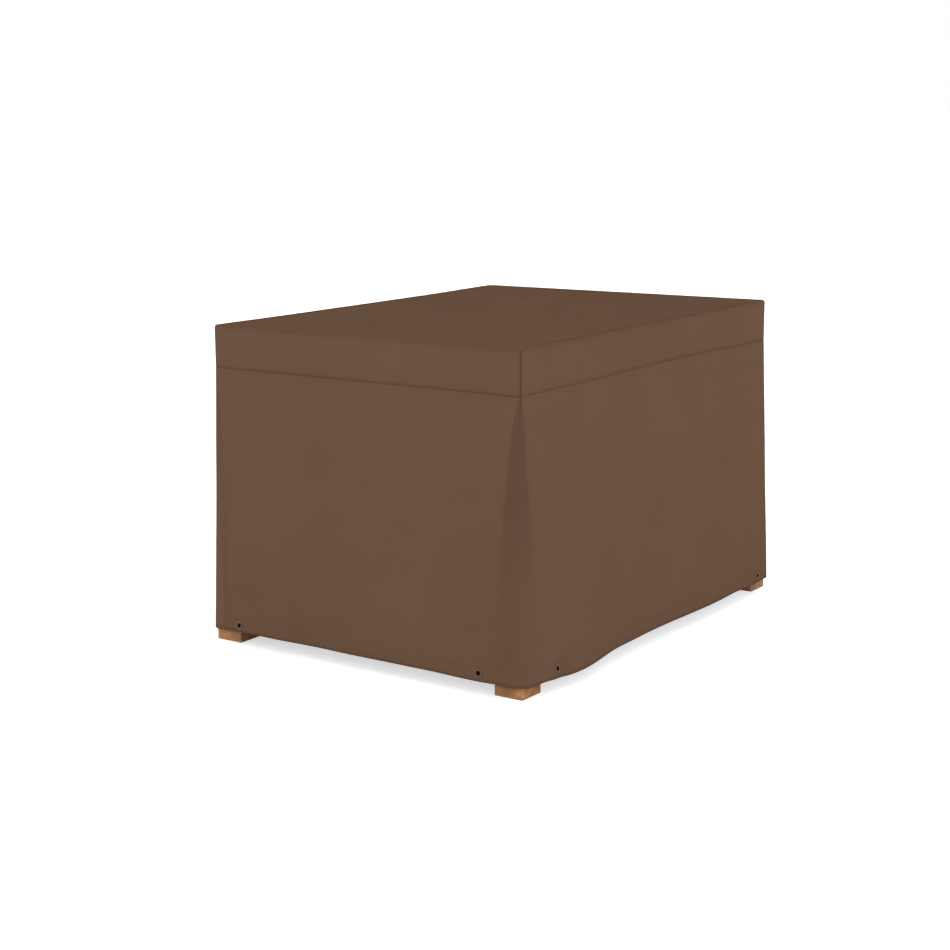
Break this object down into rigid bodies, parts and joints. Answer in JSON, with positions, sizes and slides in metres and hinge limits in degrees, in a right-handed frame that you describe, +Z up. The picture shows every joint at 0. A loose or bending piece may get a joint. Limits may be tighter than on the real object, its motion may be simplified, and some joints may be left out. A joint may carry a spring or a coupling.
{
  "type": "fitted outdoor spa cover on a timber stand",
  "caption": "Fitted fabric box cover with a boxing band, flared skirt and hem eyelets, lifting off a slatted timber stand whose square feet show below the hem.",
  "frame": {"origin": "on the ground under the middle of the cover", "axes": "+X along the short side, to the right seen from the front; +Y along the long side, to the back; +Z up"},
  "size_m": [1.0942, 1.4392, 0.885],
  "materials": {
    "cover_fabric": "matt coated weave",
    "top_fabric": "matt coated weave",
    "band_fabric": "matt coated weave",
    "hem_fabric": "matt coated weave",
    "eyelet_metal": "darkened",
    "deck_timber": "sawn and oiled",
    "post_timber": "sawn and oiled",
    "foot_timber": "sawn and oiled",
    "rail_timber": "sawn and oiled",
    "dowel_timber": "planed",
    "screw_steel": "zinc plated"
  },
  "bodies": {
    "stand": {"foot_front_left": "foot_timber", "foot_front_right": "foot_timber", "foot_back_right": "foot_timber", "foot_back_left": "foot_timber", "post_front_left": "post_timber", "post_front_right": "post_timber", "post_back_right": "post_timber", "post_back_left": "post_timber", "lower_rail_front": "rail_timber", "lower_rail_back": "rail_timber", "lower_rail_left": "rail_timber", "lower_rail_right": "rail_timber", "upper_rail_front": "rail_timber", "upper_rail_back": "rail_timber", "upper_rail_left": "rail_timber", "upper_rail_right": "rail_timber", "deck_joist": "rail_timber", "deck_board_1": "deck_timber", "deck_board_2": "deck_timber", "deck_board_3": "deck_timber", "deck_board_4": "deck_timber", "deck_board_5": "deck_timber", "deck_board_6": "deck_timber", "deck_board_7": "deck_timber", "deck_board_8": "deck_timber", "deck_board_9": "deck_timber", "deck_screws": "screw_steel", "rail_screws": "screw_steel", "foot_dowels": "dowel_timber"},
    "cover": {"top_panel": "top_fabric", "band_front": "band_fabric", "band_right": "band_fabric", "band_back": "band_fabric", "band_left": "band_fabric", "skirt_front": "cover_fabric", "skirt_right": "cover_fabric", "skirt_back": "cover_fabric", "skirt_left": "cover_fabric", "hem_facing_front": "hem_fabric", "hem_facing_right": "hem_fabric", "hem_facing_back": "hem_fabric", "hem_facing_left": "hem_fabric", "eyelets": "eyelet_metal", "eyelet_washers": "eyelet_metal"}
  },
  "joints": [
    {"name": "cover_lift", "type": "slide", "parent": "stand", "child": "cover", "axis": [0, 0, 1], "range_m": [0, 0.9]}
  ]
}
